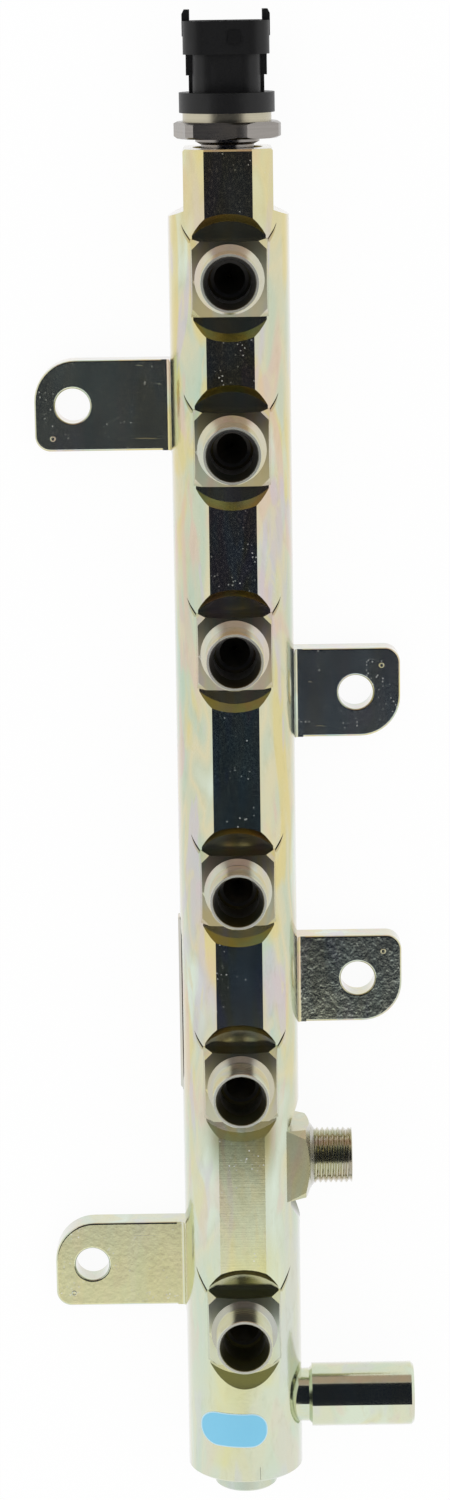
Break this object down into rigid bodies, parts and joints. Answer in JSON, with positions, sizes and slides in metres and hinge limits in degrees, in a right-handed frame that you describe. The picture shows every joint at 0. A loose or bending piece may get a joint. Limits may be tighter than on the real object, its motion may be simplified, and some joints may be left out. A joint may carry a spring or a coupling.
{
  "type": "diesel common-rail fuel rail",
  "caption": "Forged high-pressure fuel rail tube with threaded injector ports, a side inlet, a side peg, mounting ears and an end pressure sensor with a plug socket.",
  "frame": {"origin": "on the tube's axis, in the plane of its closed end, where the end stub starts", "axes": "+Y along the tube towards the pressure sensor, +Z the way the injector ports point, +X towards the side inlet and the peg"},
  "size_m": [0.1044, 0.4255, 0.0493],
  "materials": {
    "zinc_steel": "forged steel with a glossy yellow passivated zinc coat",
    "turned_steel": "bright turned steel",
    "black_plastic": "satin glass-filled nylon",
    "seal_rubber": "plain",
    "contact_brass": "tinned on the blades",
    "board_green": "solder mask",
    "carrier_plastic": "natural nylon",
    "chip_plastic": "moulded",
    "label_film": "light blue film, bare"
  },
  "bodies": {
    "root": {"rail_body": "zinc_steel", "sensor_body": "turned_steel", "sensor_sleeve": "turned_steel", "housing_seal": "seal_rubber", "pressure_cell": "turned_steel", "board_carrier": "carrier_plastic", "circuit_board": "board_green", "signal_chip": "chip_plastic", "connector_housing": "black_plastic", "identification_label": "label_film", "port_orifice_1": "turned_steel", "port_orifice_2": "turned_steel", "port_orifice_3": "turned_steel", "port_orifice_4": "turned_steel", "port_orifice_5": "turned_steel", "port_orifice_6": "turned_steel", "contact_spring_1": "contact_brass", "terminal_1": "contact_brass", "contact_spring_2": "contact_brass", "terminal_2": "contact_brass", "contact_spring_3": "contact_brass", "terminal_3": "contact_brass"}
  },
  "joints": []
}
